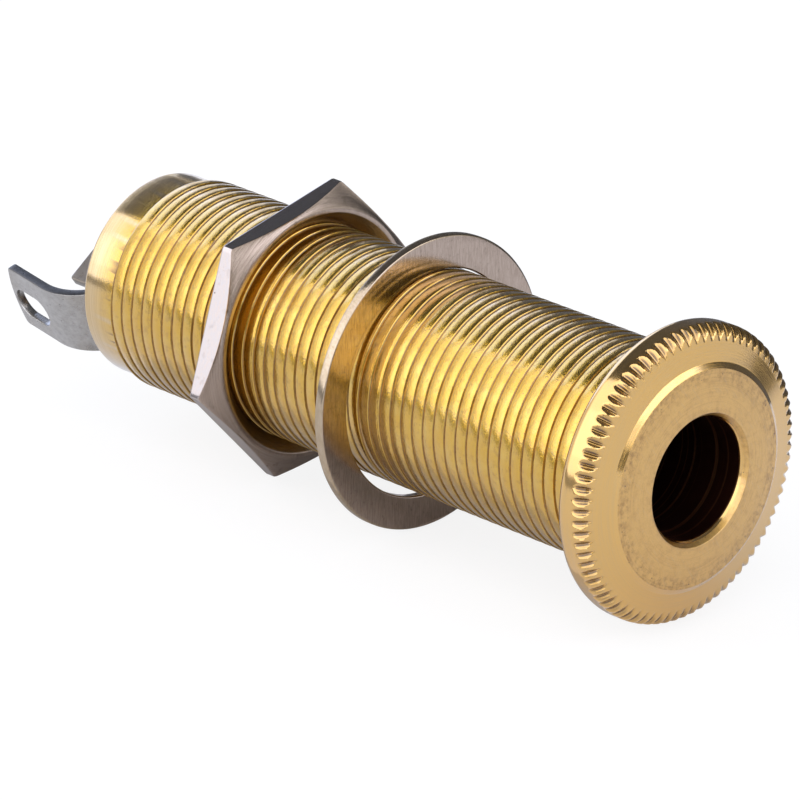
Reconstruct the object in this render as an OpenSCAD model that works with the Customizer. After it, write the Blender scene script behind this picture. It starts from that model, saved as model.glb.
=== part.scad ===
// Quarter inch phone jack with a long threaded barrel, a hex nut and a flat washer.
// The jack's axis lies along X with the plug's mouth towards +X, and the panel seats on the plane X = 0.

/* [Barrel] */
// Length from the panel seat to the rear end
barrel_len = 38.1; // [36:0.1:60]
// Major diameter of the thread
thread_d = 11.84; // [11.6:0.02:12.4]
// Pitch of the thread
thread_pitch = 0.794; // [0.65:0.002:1.2]
// Depth of the thread
thread_depth = 0.42; // [0.3:0.01:0.45]
// Length of the smooth rear end
shoulder_len = 2.4; // [1.5:0.1:4]
// Diameter of the smooth rear end, beside the thread
shoulder_d = 11.35; // [11.2:0.05:11.6]
// Diameter of the smooth rear end, at its edge
shoulder_end_d = 11.15; // [11:0.05:11.2]
// Bore that guides the plug
bore_d = 6.6; // [6.4:0.02:6.9]
// Width of the bevel at the mouth
bore_bevel = 0.3; // [0.1:0.02:0.4]
// Depth of the bevel at the mouth
bevel_depth = 0.36; // [0.1:0.02:0.5]
// Length of the guiding bore behind the panel seat
sleeve_len = 12; // [8:0.5:14]
// Bore of the rear chamber
chamber_d = 9.8; // [9.6:0.05:9.9]

/* [Flange] */
// Diameter over the rim
flange_d = 16.04; // [15.4:0.02:18]
// Height of the raised face at its edge
face_h = 2.38; // [2.2:0.02:3]
// Rise of the crowned face towards the mouth
face_rise = 0.2; // [0:0.02:0.4]
// Diameter of the raised face
face_d = 11.74; // [10.5:0.02:12.4]
// Width of the small step round the raised face
face_step_w = 0.3; // [0.1:0.02:0.4]
// Height of the small step round the raised face
face_step_h = 0.2; // [0.1:0.02:0.3]
// Rounding of the rim, front side
rim_round = 0.68; // [0.5:0.02:0.8]
// Rounding of the rim, seat side
rim_back_round = 0.6; // [0.4:0.02:0.8]
// Height of the rim's front edge
rim_h = 1.88; // [1.7:0.02:2]
// Teeth of the knurl
knurl_teeth = 80; // [60:1:100]
// Depth of the knurl
knurl_depth = 0.42; // [0.2:0.02:0.5]
// Height where the knurl starts
knurl_start = 1.24; // [0.9:0.02:1.4]

/* [Nut] */
// Size across the flats
nut_af = 14.29; // [14:0.01:16]
// Thickness
nut_t = 1.4; // [1.2:0.05:2.4]
// Place of the rear face behind the panel seat
nut_back = 26.93; // [25:0.01:30]
// Turn about the axis, in degrees
nut_angle = -17.7; // [-30:0.1:30]
// Diameter of the flat front face inside the chamfer
nut_face_d = 13.9; // [13.7:0.05:14.2]
// Slope of the corner chamfer, in degrees
nut_chamfer = 30; // [20:1:35]
// Diameter of the countersink
nut_sink_d = 13.3; // [12.8:0.05:13.6]
// Radial clearance over the thread
nut_clear = 0.05; // [0.02:0.01:0.1]

/* [Washer] */
// Outer diameter
washer_d = 16.2; // [15:0.05:20]
// Hole
washer_hole_d = 12.5; // [12.45:0.05:13.5]
// Thickness
washer_t = 0.5; // [0.3:0.05:1]
// Place of the middle plane behind the panel seat
washer_back = 17.05; // [5:0.01:19]

/* [Contacts] */
// Thickness of the terminals
lug_t = 0.5; // [0.3:0.05:0.6]
// Width of the terminals
lug_w = 3.92; // [3:0.02:4.2]
// Width of the terminals' eyes
eye_d = 1.8; // [1.5:0.05:2.5]
// Length of the terminals' eyes
eye_len = 3; // [2.6:0.05:3.2]
// Angle of the sleeve terminal about the axis, in degrees
sleeve_angle = 111; // [95:0.1:125]
// Length of the sleeve terminal's collar
collar_len = 2.1; // [1.6:0.05:2.6]
// Reach of the collar past the barrel's rear end
collar_proud = 0.25; // [0.1:0.05:0.4]
// Outward lean of the sleeve terminal at its root, in degrees
lug_lean = 35.7; // [25:0.1:40]
// Radius of the sleeve terminal's bend
lug_bend_r = 3.9; // [3:0.05:6]
// Angle of the sleeve terminal's bend, in degrees
lug_sweep = 44.1; // [30:0.1:55]
// Length of the sleeve terminal's flat end
lug_flat = 3.6; // [3.5:0.05:6]
// Offset of the sleeve terminal's eye from the middle of its width
eye_off = 0.3; // [0:0.05:0.4]
// Angle of the tip terminal about the axis, in degrees
tip_angle = 35.5; // [20:0.5:60]
// Reach of the tip terminal past the barrel's rear end
tip_reach = 5.9; // [4:0.05:8]
// Thickness of the tip spring
spring_t = 0.3; // [0.2:0.01:0.4]
// Width of the tip spring
spring_w = 2.4; // [2:0.05:2.8]
// Distance from the axis to the tip spring's bump
spring_gap = 2.3; // [2:0.05:2.6]
// Inward slope of the tip spring, in degrees
spring_slope = 7; // [5:0.1:8]
// Place of the bump behind the panel seat
bump_back = 24.2; // [23:0.1:26]
// Shank of the rivet
rivet_d = 1.6; // [1.2:0.05:2]

/* [Insulation] */
// Thickness of the insulating disc
disc_t = 3; // [2:0.05:4]
// Wall of the insulating liner
liner_t = 0.35; // [0.2:0.01:0.5]
// Radial clearance of what slides into the chamber
slip_gap = 0.03; // [0.01:0.01:0.05]

/* [Hidden] */
$fn = 96;

// overlap that joins the runs and bends of one strip, and reach of a cut past its surface
weld = 0.01;
past = 1;

// thread, as ridges at the true pitch
thread_r = thread_d / 2;
thread_flank = 30;
groove_w = 2 * thread_depth * tan(thread_flank);
thread_len = barrel_len - shoulder_len;
thread_count = floor(thread_len / thread_pitch);
shoulder_edge = 0.25;

flange_r = flange_d / 2;
face_r = face_d / 2;
face_top = face_h + face_rise;
bore_r = bore_d / 2;
mouth_r = bore_r + bore_bevel;
knurl_root_r = flange_r - knurl_depth;
knurl_over = 0.15;

// what slides into the chamber from the rear stops against its front end
chamber_r = chamber_d / 2;
slip_r = chamber_r - slip_gap;
disc_back = collar_len - barrel_len - collar_proud;
disc_front = disc_back + disc_t;

// the rivet stands off the axis, so that the upright plate of the tip terminal passes beside it
rivet_head_d = 2 * rivet_d;
rivet_head_h = 0.45;
rivet_off = 1.5;
foot_margin = 0.3;
foot_end = rivet_off + rivet_head_d / 2 + foot_margin;

// tip spring: a foot on the disc, an arm along the chamber's wall and a rounded bump
spring_bend = 0.5;
bump_bend = 0.9;
bump_angle = 35;
spring_tail = 0.6;
foot_x = disc_front + spring_t / 2;
arm_start_x = foot_x + spring_bend * (1 + sin(spring_slope));
arm_end_x = -bump_back - bump_bend * sin(spring_slope);
arm_len = (arm_end_x - arm_start_x) / cos(spring_slope);
arm_end_u = -spring_gap - spring_t / 2 - bump_bend * (1 - cos(spring_slope));
spring_bend_u = arm_end_u - arm_len * sin(spring_slope) + spring_bend * cos(spring_slope);

// terminals
plate_face = -0.65;
plate_inner_r = 0.3;
plate_bend = plate_inner_r + lug_t / 2;
plate_u = plate_face - lug_t / 2;
plate_len = disc_back - lug_t / 2 - plate_bend + barrel_len + tip_reach;
eye_margin = 0.25;
eye_edge = eye_margin + eye_len / 2;
lug_end_r = 5.26;
plate_corner = 0.4;
root_gap = 0.05;
lug_start = lug_t / 2 * sin(lug_lean) + root_gap;
relief_w = 0.5;
relief_len = 0.65;

// Turned body round the X axis, from a profile of radius and place along the axis
module turned() {
  rotate([0, 90, 0]) rotate_extrude() children();
}

// Places its children at the end of a strip's bend, to the left for a positive angle
module bend_end(radius, angle) {
  side = sign(angle);
  translate([0, side * radius, 0])
    rotate([0, 0, angle])
      translate([0, -side * radius, 0])
        children();
}

// Straight run of a flat strip along x, with the next piece of the strip at its end
module run(length, thick, wide) {
  translate([-weld, -thick / 2, -wide / 2]) cube([length + 2 * weld, thick, wide]);
  translate([length, 0, 0]) children();
}

// Rolled bend of a flat strip, with the next piece of the strip at its end
module turn(radius, angle, thick, wide) {
  side = sign(angle);
  translate([0, side * radius, 0])
    rotate([0, 0, side > 0 ? -90 : 90 + angle])
      rotate_extrude(angle = abs(angle))
        translate([radius - thick / 2, -wide / 2])
          square([thick, wide]);
  bend_end(radius, angle) children();
}

// Cuts that round both corners at the end of a strip
module end_corners(radius, thick, wide) {
  rotate([90, 0, 0])
    linear_extrude(height = thick + 2 * past, center = true)
      for (side = [-1, 1])
        translate([-radius, side * (wide / 2 - radius)])
          difference() {
            translate([0, side > 0 ? 0 : -radius - past]) square(radius + past);
            circle(r = radius);
          }
}

// Cut that rounds the end of a strip to one arc
module end_arc(radius, thick, wide) {
  rotate([90, 0, 0])
    linear_extrude(height = thick + 2 * past, center = true)
      difference() {
        translate([-past, -wide]) square([2 * past, 2 * wide]);
        translate([-radius, 0]) circle(r = radius);
      }
}

// Cut for the long eye of a terminal, through a strip
module eye() {
  straight = eye_len - eye_d;
  rotate([90, 0, 0])
    linear_extrude(height = lug_t + 2 * past, center = true) {
      square([straight, eye_d], center = true);
      for (side = [-1, 1])
        translate([side * straight / 2, 0]) circle(d = eye_d);
    }
}

// Places the sleeve terminal's lug on the edge of its collar
module lug_root() {
  translate([-barrel_len - lug_start, 0, slip_r - lug_t / 2])
    rotate([90, 0, 180])
      rotate([0, 0, lug_lean])
        children();
}

// Frame of the tip contact: x runs from the rivet's side across the disc, and y to the front
module tip_frame(x) {
  rotate([tip_angle, 0, 0])
    translate([x, 0, foot_end])
      rotate([0, 90, 0])
        rotate([90, 0, 0])
          children();
}

// Hole for the rivet in a foot, in the frame of the tip contact
module rivet_hole() {
  translate([foot_end - rivet_off, 0, 0])
    rotate([90, 0, 0])
      cylinder(d = rivet_d, h = 2 * past, center = true);
}

// Half section of the flange, with its crowned face, small step and rounded rim
module flange_section() {
  polygon([
    [0, 0],
    [flange_r - rim_back_round, 0],
    [flange_r, rim_back_round],
    [flange_r, rim_h - rim_round],
    [flange_r - rim_round, rim_h],
    [face_r + face_step_w, face_h - face_step_h],
    [face_r, face_h],
    [mouth_r, face_top],
    [0, face_top]
  ]);
  translate([flange_r - rim_back_round, rim_back_round]) circle(r = rim_back_round);
  translate([flange_r - rim_round, rim_h - rim_round]) circle(r = rim_round);
}

// Half section of the threaded barrel and its smooth tapered rear end
module thread_section() {
  polygon(concat(
    [
      [0, weld],
      [0, -barrel_len],
      [shoulder_end_d / 2 - shoulder_edge, -barrel_len],
      [shoulder_end_d / 2, -barrel_len + shoulder_edge],
      [shoulder_d / 2, -thread_len]
    ],
    [
      for (i = [0 : thread_count - 1])
        let (x = -thread_len + i * thread_pitch)
          each [
            [thread_r, x],
            [thread_r, x + thread_pitch - groove_w],
            [thread_r - thread_depth, x + thread_pitch - groove_w / 2]
          ]
    ],
    [
      [thread_r, -thread_len + thread_count * thread_pitch],
      [thread_r, weld]
    ]
  ));
}

// Half section of the bores: bevelled mouth, guiding bore and rear chamber
module bore_section() {
  polygon([
    [0, face_top + past],
    [mouth_r, face_top + past],
    [mouth_r, face_top],
    [bore_r, face_top - bevel_depth],
    [bore_r, -sleeve_len],
    [chamber_r, -sleeve_len],
    [chamber_r, -barrel_len - past],
    [0, -barrel_len - past]
  ]);
}

// Straight knurl round the front of the rim
module knurl_cut() {
  translate([knurl_start, 0, 0])
    rotate([0, 90, 0])
      linear_extrude(height = face_top)
        difference() {
          circle(r = flange_r + past);
          polygon([
            for (i = [0 : 2 * knurl_teeth - 1])
              let (r = i % 2 == 0 ? knurl_root_r : flange_r + knurl_over)
                r * [cos(180 * i / knurl_teeth), sin(180 * i / knurl_teeth)]
          ]);
        }
}

module barrel() {
  color("goldenrod")
    difference() {
      turned()
        difference() {
          union() {
            flange_section();
            thread_section();
          }
          bore_section();
        }
      knurl_cut();
    }
}

module hex_nut() {
  corner_r = nut_af / 2 / cos(30);
  bore = thread_r + nut_clear;
  face = nut_face_d / 2;
  sink = nut_sink_d / 2;
  color("lightgray")
    translate([-nut_back, 0, 0])
      rotate([nut_angle, 0, 0])
        rotate([0, 90, 0])
          difference() {
            intersection() {
              cylinder(r = corner_r, h = nut_t, $fn = 6);
              cylinder(r1 = face + nut_t / tan(nut_chamfer), r2 = face, h = nut_t);
            }
            translate([0, 0, -past]) cylinder(r = bore, h = nut_t + 2 * past);
            translate([0, 0, nut_t + bore - sink])
              cylinder(r1 = bore, r2 = sink + past, h = sink - bore + past);
          }
}

module flat_washer() {
  hang = washer_hole_d / 2 - thread_r - slip_gap;
  color("silver")
    translate([-washer_back - washer_t / 2, 0, -hang])
      rotate([0, 90, 0])
        difference() {
          cylinder(d = washer_d, h = washer_t);
          translate([0, 0, -past]) cylinder(d = washer_hole_d, h = washer_t + 2 * past);
        }
}

module insulating_liner() {
  color("dimgray")
    turned()
      translate([slip_r - liner_t, disc_front])
        square([liner_t, -sleeve_len - disc_front]);
}

module insulating_disc() {
  color("saddlebrown")
    difference() {
      turned() translate([0, disc_back]) square([slip_r, disc_t]);
      rotate([tip_angle, 0, 0])
        translate([disc_back - past, 0, rivet_off])
          rotate([0, 90, 0])
            cylinder(d = rivet_d, h = disc_t + 2 * past);
    }
}

module tip_spring() {
  color("gainsboro")
    tip_frame(foot_x)
      difference() {
        run(foot_end - spring_bend_u, spring_t, spring_w)
          turn(spring_bend, 90 + spring_slope, spring_t, spring_w)
            run(arm_len, spring_t, spring_w)
              turn(bump_bend, -spring_slope - bump_angle, spring_t, spring_w)
                run(spring_tail, spring_t, spring_w);
        rivet_hole();
      }
}

module tip_terminal() {
  color("darkgray")
    tip_frame(disc_back - lug_t / 2)
      difference() {
        run(foot_end - plate_u - plate_bend, lug_t, lug_w)
          turn(plate_bend, -90, lug_t, lug_w)
            run(plate_len, lug_t, lug_w);
        rivet_hole();
        translate([foot_end - plate_u - plate_bend, 0, 0])
          bend_end(plate_bend, -90) {
            translate([plate_len + weld, 0, 0]) end_corners(plate_corner, lug_t, lug_w);
            translate([plate_len - eye_edge, 0, 0]) eye();
          }
      }
}

module contact_rivet() {
  shank = disc_t + lug_t + spring_t;
  color("peru")
    rotate([tip_angle, 0, 0])
      translate([disc_back - lug_t, 0, rivet_off])
        rotate([0, 90, 0]) {
          cylinder(d = rivet_d, h = shank);
          translate([0, 0, shank])
            cylinder(d1 = rivet_head_d, d2 = rivet_d, h = rivet_head_h);
          translate([0, 0, -rivet_head_h])
            cylinder(d1 = rivet_d, d2 = rivet_head_d, h = rivet_head_h);
        }
}

module sleeve_terminal() {
  color("darkgray")
    rotate([sleeve_angle, 0, 0])
      difference() {
        union() {
          turned()
            translate([slip_r - lug_t, disc_back - collar_len])
              square([lug_t, collar_len]);
          lug_root()
            turn(lug_bend_r, -lug_sweep, lug_t, lug_w)
              run(lug_flat, lug_t, lug_w);
        }
        lug_root()
          bend_end(lug_bend_r, -lug_sweep) {
            translate([lug_flat, 0, 0]) end_arc(lug_end_r, lug_t, lug_w);
            translate([lug_flat - eye_edge, 0, -eye_off]) eye();
          }
        for (side = [-1, 1])
          translate([
            disc_back - collar_len - past,
            side * (lug_w + relief_w) / 2 - relief_w / 2,
            0
          ])
            cube([relief_len + past, relief_w, chamber_r]);
      }
}

barrel();
hex_nut();
flat_washer();
insulating_liner();
insulating_disc();
tip_spring();
tip_terminal();
contact_rivet();
sleeve_terminal();
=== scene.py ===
import math

import bmesh
import bpy
import numpy as np
from mathutils import Matrix, Vector, noise


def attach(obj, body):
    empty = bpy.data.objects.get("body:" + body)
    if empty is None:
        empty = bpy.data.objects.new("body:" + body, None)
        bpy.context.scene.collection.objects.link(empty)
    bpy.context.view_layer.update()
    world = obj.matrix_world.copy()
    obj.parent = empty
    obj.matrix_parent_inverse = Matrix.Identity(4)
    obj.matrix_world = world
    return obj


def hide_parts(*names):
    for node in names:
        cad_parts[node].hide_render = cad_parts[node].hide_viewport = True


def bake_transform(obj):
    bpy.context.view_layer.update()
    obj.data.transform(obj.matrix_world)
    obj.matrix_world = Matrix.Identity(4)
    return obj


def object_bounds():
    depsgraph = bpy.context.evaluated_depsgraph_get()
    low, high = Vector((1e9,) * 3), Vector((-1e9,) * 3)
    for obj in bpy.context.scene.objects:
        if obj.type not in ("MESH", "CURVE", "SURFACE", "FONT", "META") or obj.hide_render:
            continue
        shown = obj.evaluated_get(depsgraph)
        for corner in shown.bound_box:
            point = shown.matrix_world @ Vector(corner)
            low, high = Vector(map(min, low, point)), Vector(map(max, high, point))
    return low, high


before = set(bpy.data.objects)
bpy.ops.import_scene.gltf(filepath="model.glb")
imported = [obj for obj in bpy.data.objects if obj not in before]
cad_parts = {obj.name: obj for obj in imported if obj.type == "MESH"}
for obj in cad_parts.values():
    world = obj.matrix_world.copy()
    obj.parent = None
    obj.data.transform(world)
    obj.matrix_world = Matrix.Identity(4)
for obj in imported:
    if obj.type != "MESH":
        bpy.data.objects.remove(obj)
cadLow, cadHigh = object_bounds()
print("frame loaded:", len(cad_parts), "nodes")

mm = 0.001
turn = 2 * math.pi


# Shader maths: a socket with the usual operators, so that an expression lays its own nodes
class Flow:
    def __init__(self, tree, socket=None):
        self.tree = tree
        self.socket = socket

    def add(self, kind, settings=None, inputs=None, output=0):
        node = self.tree.nodes.new(kind)
        for key, value in (settings or {}).items():
            setattr(node, key, value)
        for key, value in (inputs or {}).items():
            if isinstance(value, Flow):
                self.tree.links.new(value.socket, node.inputs[key])
            else:
                node.inputs[key].default_value = value
        return Flow(self.tree, node.outputs[output])

    def calc(self, operation, first, second=0.0, clamp=False):
        return self.add("ShaderNodeMath", {"operation": operation, "use_clamp": clamp},
                        {0: first, 1: second})

    def __add__(self, other):
        return self.calc("ADD", self, other)

    def __radd__(self, other):
        return self.calc("ADD", other, self)

    def __sub__(self, other):
        return self.calc("SUBTRACT", self, other)

    def __rsub__(self, other):
        return self.calc("SUBTRACT", other, self)

    def __mul__(self, other):
        return self.calc("MULTIPLY", self, other)

    def __rmul__(self, other):
        return self.calc("MULTIPLY", other, self)

    def __pow__(self, other):
        return self.calc("POWER", self, other)

    def clamp(self):
        return self.calc("ADD", self, 0.0, True)

    # 0 below low, 1 above high, smooth between
    def ramp(self, low, high):
        return self.add("ShaderNodeMapRange", {"interpolation_type": "SMOOTHSTEP"},
                        {"Value": self, "From Min": low, "From Max": high})

    def tint(self, first, second):
        return self.add("ShaderNodeMix", {"data_type": "RGBA"}, {0: self, 6: first, 7: second}, 2)


def rgb(*tone):
    return (*tone, 1.0)


class Finish:
    # one metal or plastic: constants go straight to the shader, what varies is plugged in
    def __init__(self, name, constants):
        self.material = bpy.data.materials.new(name)
        self.material.use_nodes = True
        self.tree = self.material.node_tree
        self.shader = self.tree.nodes["Principled BSDF"]
        for key, value in constants.items():
            self.shader.inputs[key].default_value = value
        self.flow = Flow(self.tree)
        metres = self.flow.add("ShaderNodeTexCoord", output="Object")
        self.place = self.flow.add("ShaderNodeVectorMath", {"operation": "SCALE"},
                                   {0: metres, "Scale": 1 / mm})
        split = self.flow.add("ShaderNodeSeparateXYZ", inputs={0: self.place})
        self.x, self.y, self.z = (Flow(self.tree, s) for s in split.socket.node.outputs)
        self.reach = (self.y * self.y + self.z * self.z) ** 0.5

    def spot(self, x, y, z):
        return self.flow.add("ShaderNodeCombineXYZ", inputs={0: x, 1: y, 2: z})

    def cloud(self, scale, detail=3.0, rough=0.55, where=None):
        return self.flow.add("ShaderNodeTexNoise", inputs={
            "Vector": where or self.place, "Scale": scale, "Detail": detail, "Roughness": rough})

    # noise stretched along the turn about the jack's axis: fine marks of the lathe
    def turned(self, along, across, detail=3.0):
        drift = 0.35 * (self.y + self.z)
        return self.cloud(1.0, detail, 0.6, self.spot(self.x * along, self.reach * across, drift))

    def mark(self, name):
        return self.flow.add("ShaderNodeAttribute", {"attribute_name": name}, output="Fac")

    # sparse dots: cells whose random value passes the share, drawn near their middles
    def specks(self, scale, size, share):
        cell = self.flow.add("ShaderNodeTexVoronoi", {"feature": "F1"},
                             {"Vector": self.place, "Scale": scale})
        pick = Flow(self.tree, cell.socket.node.outputs["Color"])
        pick = self.flow.add("ShaderNodeSeparateColor", inputs={0: pick})
        return (1 - cell.ramp(size * 0.5, size)) * pick.calc("LESS_THAN", pick, share)

    def plug(self, **wires):
        for key, wire in wires.items():
            self.tree.links.new(wire.socket, self.shader.inputs[key.replace("_", " ")])

    def bump(self, height, depth):
        self.plug(Normal=self.flow.add("ShaderNodeBump", inputs={
            "Height": height, "Distance": depth * mm, "Strength": 1.0}))


# Mesh making: grids of points in millimetres, joined, welded and shaded by angle
def ring(count):
    return np.arange(count) * turn / count


def lathe(profile, count, radii=None):
    profile = np.asarray(profile, float)
    angle = ring(count)[None, :]
    reach = profile[:, 1][:, None] + 0 * angle if radii is None else radii
    x = profile[:, 0][:, None] + 0 * angle
    return np.stack([x, reach * np.cos(angle), reach * np.sin(angle)], -1)


def rounded(points, radii, steps=5):
    out = []
    for i, (p, radius) in enumerate(zip(points, radii)):
        p = np.asarray(p, float)
        if radius <= 0 or i in (0, len(points) - 1):
            out.append(p)
            continue
        a, b = np.asarray(points[i - 1], float) - p, np.asarray(points[i + 1], float) - p
        la, lb = np.linalg.norm(a), np.linalg.norm(b)
        a, b = a / la, b / lb
        half = math.acos(max(-1.0, min(1.0, float(a @ b)))) / 2
        cut = min(radius / math.tan(half), 0.49 * la, 0.49 * lb)
        radius = cut * math.tan(half)
        middle = p + (a + b) / np.linalg.norm(a + b) * radius / math.sin(half)
        start, end = p + a * cut - middle, p + b * cut - middle
        sweep = math.pi - 2 * half
        for k in range(steps + 1):
            t = k / steps
            v = (start * math.sin((1 - t) * sweep) + end * math.sin(t * sweep)) / math.sin(sweep)
            out.append(middle + v)
    return np.array(out)


def gridFaces(rows, cols, closeRows, closeCols, base):
    r = np.arange(rows if closeRows else rows - 1)
    c = np.arange(cols if closeCols else cols - 1)
    r, c = np.meshgrid(r, c, indexing="ij")
    r2, c2 = (r + 1) % rows, (c + 1) % cols
    return np.stack([r * cols + c, r * cols + c2, r2 * cols + c2, r2 * cols + c], -1).reshape(-1, 4) + base


# patches: (points, close rows, close columns, marks), where a mark is one number for each point
def makePiece(name, patches, finish, body, nodes, sharp):
    points, faces, marks, base = [], [], {}, 0
    for patch in patches:
        grid, closeRows, closeCols = patch[:3]
        rows, cols = grid.shape[:2]
        points.append(grid.reshape(-1, 3) * mm)
        faces.append(gridFaces(rows, cols, closeRows, closeCols, base))
        for key, value in (patch[3] if len(patch) > 3 else {}).items():
            marks.setdefault(key, []).append((base, np.broadcast_to(value, (rows, cols)).reshape(-1)))
        base += rows * cols
    mesh = bpy.data.meshes.new(name)
    mesh.from_pydata(np.concatenate(points).tolist(), [], np.concatenate(faces).tolist())
    for key, runs in marks.items():
        values = np.zeros(base, np.float32)
        for start, run in runs:
            values[start:start + len(run)] = run
        mesh.attributes.new(key, "FLOAT", "POINT").data.foreach_set("value", values)
    work = bmesh.new()
    work.from_mesh(mesh)
    bmesh.ops.remove_doubles(work, verts=work.verts, dist=2e-6)
    bmesh.ops.dissolve_degenerate(work, edges=work.edges, dist=1e-7)
    bmesh.ops.recalc_face_normals(work, faces=work.faces)
    work.to_mesh(mesh)
    work.free()
    mesh.polygons.foreach_set("use_smooth", [True] * len(mesh.polygons))
    mesh.set_sharp_from_angle(angle=math.radians(sharp))
    piece = bpy.data.objects.new(name, mesh)
    bpy.context.scene.collection.objects.link(piece)
    mesh.materials.append(finish.material)
    if body:
        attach(piece, body)
    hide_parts(*nodes)
    print(name, "made:", len(mesh.polygons), "faces")
    return piece


def smooth(low, high, value):
    t = np.clip((value - low) / (high - low), 0, 1)
    return t * t * (3 - 2 * t)


def wander(x, y, z, size, seed=0.0):
    spots = np.stack(np.broadcast_arrays(x, y, z), -1).reshape(-1, 3) / size + seed
    values = np.array([noise.noise(Vector(p)) for p in spots])
    return values.reshape(np.broadcast(x, y, z).shape)


# Finishes
# groove, notch and bore are dark tones for recesses: groove is partly dirt and partly painted shade, notch is
# painted shade, bore is painted shade over a brown oxide
goldTone = {
    "rich": rgb(0.600, 0.348, 0.026), "pale": rgb(0.630, 0.396, 0.056), "tarnish": rgb(0.370, 0.190, 0.030),
    "groove": rgb(0.190, 0.095, 0.018), "bare": rgb(0.530, 0.365, 0.160), "face": rgb(0.665, 0.402, 0.112),
    "stain": rgb(0.300, 0.155, 0.036), "speck": rgb(0.080, 0.038, 0.014), "bore": rgb(0.060, 0.018, 0.010),
    "worn": rgb(0.625, 0.455, 0.230), "notch": rgb(0.150, 0.078, 0.018), "ring": rgb(0.260, 0.110, 0.045),
    "constants": {"Metallic": 1.0, "Coat Weight": 0.9, "Coat IOR": 1.6, "Coat Roughness": 0.10},
}


def goldThread():
    gold = Finish("goldBrassThread", goldTone["constants"])
    groove, bare = gold.mark("groove"), gold.mark("bare")
    grain = gold.cloud(9.0, 3.0, 0.6)
    ragged = gold.cloud(1.0, 3.0, 0.6, gold.spot(gold.x * 8.0, gold.y * 4.5, gold.z * 4.5))
    lines = gold.turned(26.0, 1.5)
    tone = gold.cloud(0.9, 4.0, 0.6).ramp(0.40, 0.70).tint(goldTone["rich"], goldTone["pale"])
    tone = (gold.cloud(2.6, 4.0).ramp(0.52, 0.72) * 0.45).tint(tone, goldTone["tarnish"])
    # the groove mark tints the thread's grooves darker: partly dirt, partly painted shade in the recesses
    grooveDirtAndShade = (groove.ramp(0.45, 0.95) * (0.6 + 0.6 * gold.cloud(3.0))).clamp()
    tone = grooveDirtAndShade.tint(tone, goldTone["groove"])
    pits = gold.specks(5.0, 0.20, 0.16) * (1 - bare)
    tone = (pits * 0.7).tint(tone, goldTone["stain"])
    tone = bare.tint(tone, lines.ramp(0.35, 0.65).tint(goldTone["bare"], goldTone["worn"]))
    gold.plug(Base_Color=tone, Roughness=0.09 + 0.06 * grain + 0.04 * lines + 0.2 * grooveDirtAndShade)
    gold.bump((1 - bare) * (0.9 * ragged + 0.7 * grain - 0.4 * pits) + bare * 0.25 * lines, 0.011)
    return gold


def goldHead():
    gold = Finish("goldBrassHead", goldTone["constants"])
    f, b = flangeSize, barrelSize
    x, reach = gold.x, gold.reach
    mouth = f["faceTop"] - b["bevel"]
    face = x.ramp(f["faceH"] - 0.08, f["faceH"] - 0.02)
    face = face * (1 - reach.ramp(f["faceR"] - 0.03, f["faceR"] + 0.03))
    inside = 1 - reach.ramp(b["chamberR"] + 0.1, b["chamberR"] + 0.15)
    bore = (1 - x.ramp(mouth - 0.07, mouth + 0.03)) * inside
    notch = gold.mark("notch")
    around = gold.flow.calc("ARCTAN2", gold.z, gold.y)
    ripple = gold.flow.calc("SINE", around * 320.0) * notch
    rings = gold.turned(2.0, 15.0)
    fine = gold.turned(4.0, 40.0, 2.0)
    grain = gold.cloud(11.0, 4.0, 0.7)
    stain = gold.cloud(2.0, 6.0, 0.68).ramp(0.44, 0.72)
    outer = reach.ramp(f["faceR"] - 1.12, f["faceR"] - 0.22) * gold.cloud(3.6, 5.0, 0.65).ramp(0.40, 0.68)
    inner = 1 - reach.ramp(b["mouthR"] + 0.05, b["mouthR"] + 0.55)
    inner = inner * gold.cloud(3.2, 5.0, 0.65).ramp(0.42, 0.72)
    slanted = gold.spot(x, gold.y * 14 + gold.z * 9, gold.z * 0.8 - gold.y * 1.2)
    scratch = gold.cloud(1.0, 2.0, 0.5, slanted).ramp(0.60, 0.72)
    worn = 0.06 + 0.22 * stain + 0.55 * outer + 0.30 * inner
    worn = worn + 0.22 * grain.ramp(0.45, 0.75) + 0.25 * rings.ramp(0.45, 0.7)
    worn = (face * worn).clamp()
    tone = worn.tint(goldTone["face"], goldTone["stain"])
    tone = (face * 0.4 * scratch).tint(tone, goldTone["bare"])
    tone = ((1 - face) * 0.35 * rings.ramp(0.4, 0.7)).tint(tone, goldTone["bare"])
    tone = (face * gold.specks(2.6, 0.14, 0.24)).tint(tone, goldTone["speck"])
    # the knurl's notches are painted dark: painted shade in the notches, broken by lighter milling ripples
    tone = (notch * (0.80 + 0.5 * ripple)).clamp().tint(tone, goldTone["notch"])
    tools = gold.cloud(1.0, 2.0, 0.5, gold.spot(x * 2.6, 0.0, 0.0)).ramp(0.52, 0.66)
    # the bore and chamber walls are painted near black: painted shade inside the hollow over a brown oxide
    # tone, with lighter tool rings
    tone = bore.tint(tone, tools.tint(goldTone["bore"], goldTone["ring"]))
    rough = 0.10 + 0.06 * rings + face * (0.16 + 0.10 * stain + 0.08 * grain) + 0.14 * notch + 0.3 * bore
    gold.plug(Base_Color=tone, Roughness=rough)
    height = 0.6 * rings + 0.5 * fine + face * (0.9 * grain + 0.5 * rings - 0.5 * scratch) + 1.6 * ripple
    gold.bump(height, 0.008)
    return gold


nickelTone = {
    "bright": rgb(0.490, 0.400, 0.335), "dull": rgb(0.355, 0.280, 0.226), "dark": rgb(0.140, 0.108, 0.082),
    "flat": rgb(0.420, 0.390, 0.380), "brass": rgb(0.470, 0.370, 0.195), "speck": rgb(0.050, 0.040, 0.034),
    "constants": {"Metallic": 1.0},
}


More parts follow.
